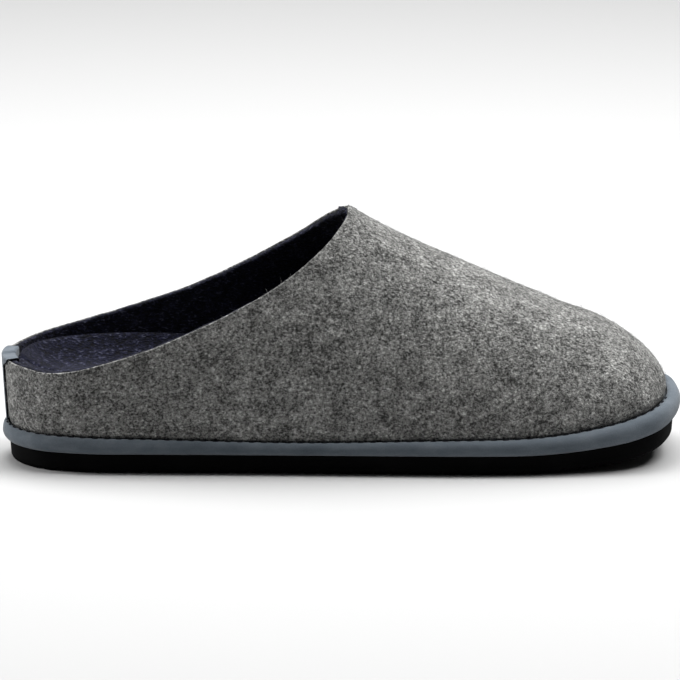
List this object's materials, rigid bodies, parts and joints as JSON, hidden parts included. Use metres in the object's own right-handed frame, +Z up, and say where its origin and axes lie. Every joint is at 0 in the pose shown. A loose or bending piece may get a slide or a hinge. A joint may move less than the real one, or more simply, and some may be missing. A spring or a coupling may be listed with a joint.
{
  "type": "felt slipper",
  "caption": "Right foot's felt slipper with a hollow moulded upper, low open heel, contoured footbed, suede-wrapped platform and ribbed rubber outsole.",
  "frame": {"origin": "on the floor, below the middle of the slipper's box", "axes": "+X towards the toe, +Y towards the inner side of the foot, +Z up"},
  "size_m": [0.2856, 0.103, 0.1053],
  "materials": {
    "rubber": "matt black rubber with fine cross ribs",
    "suede": "grey-blue suede with a short nap",
    "grey_felt": "grey mottled wool felt, lined with navy felt",
    "navy_felt": "dark navy wool felt"
  },
  "bodies": {
    "root": {"outsole": "rubber", "platform": "suede", "upper": "grey_felt", "footbed": "navy_felt", "heel_strip": "suede"}
  },
  "joints": []
}
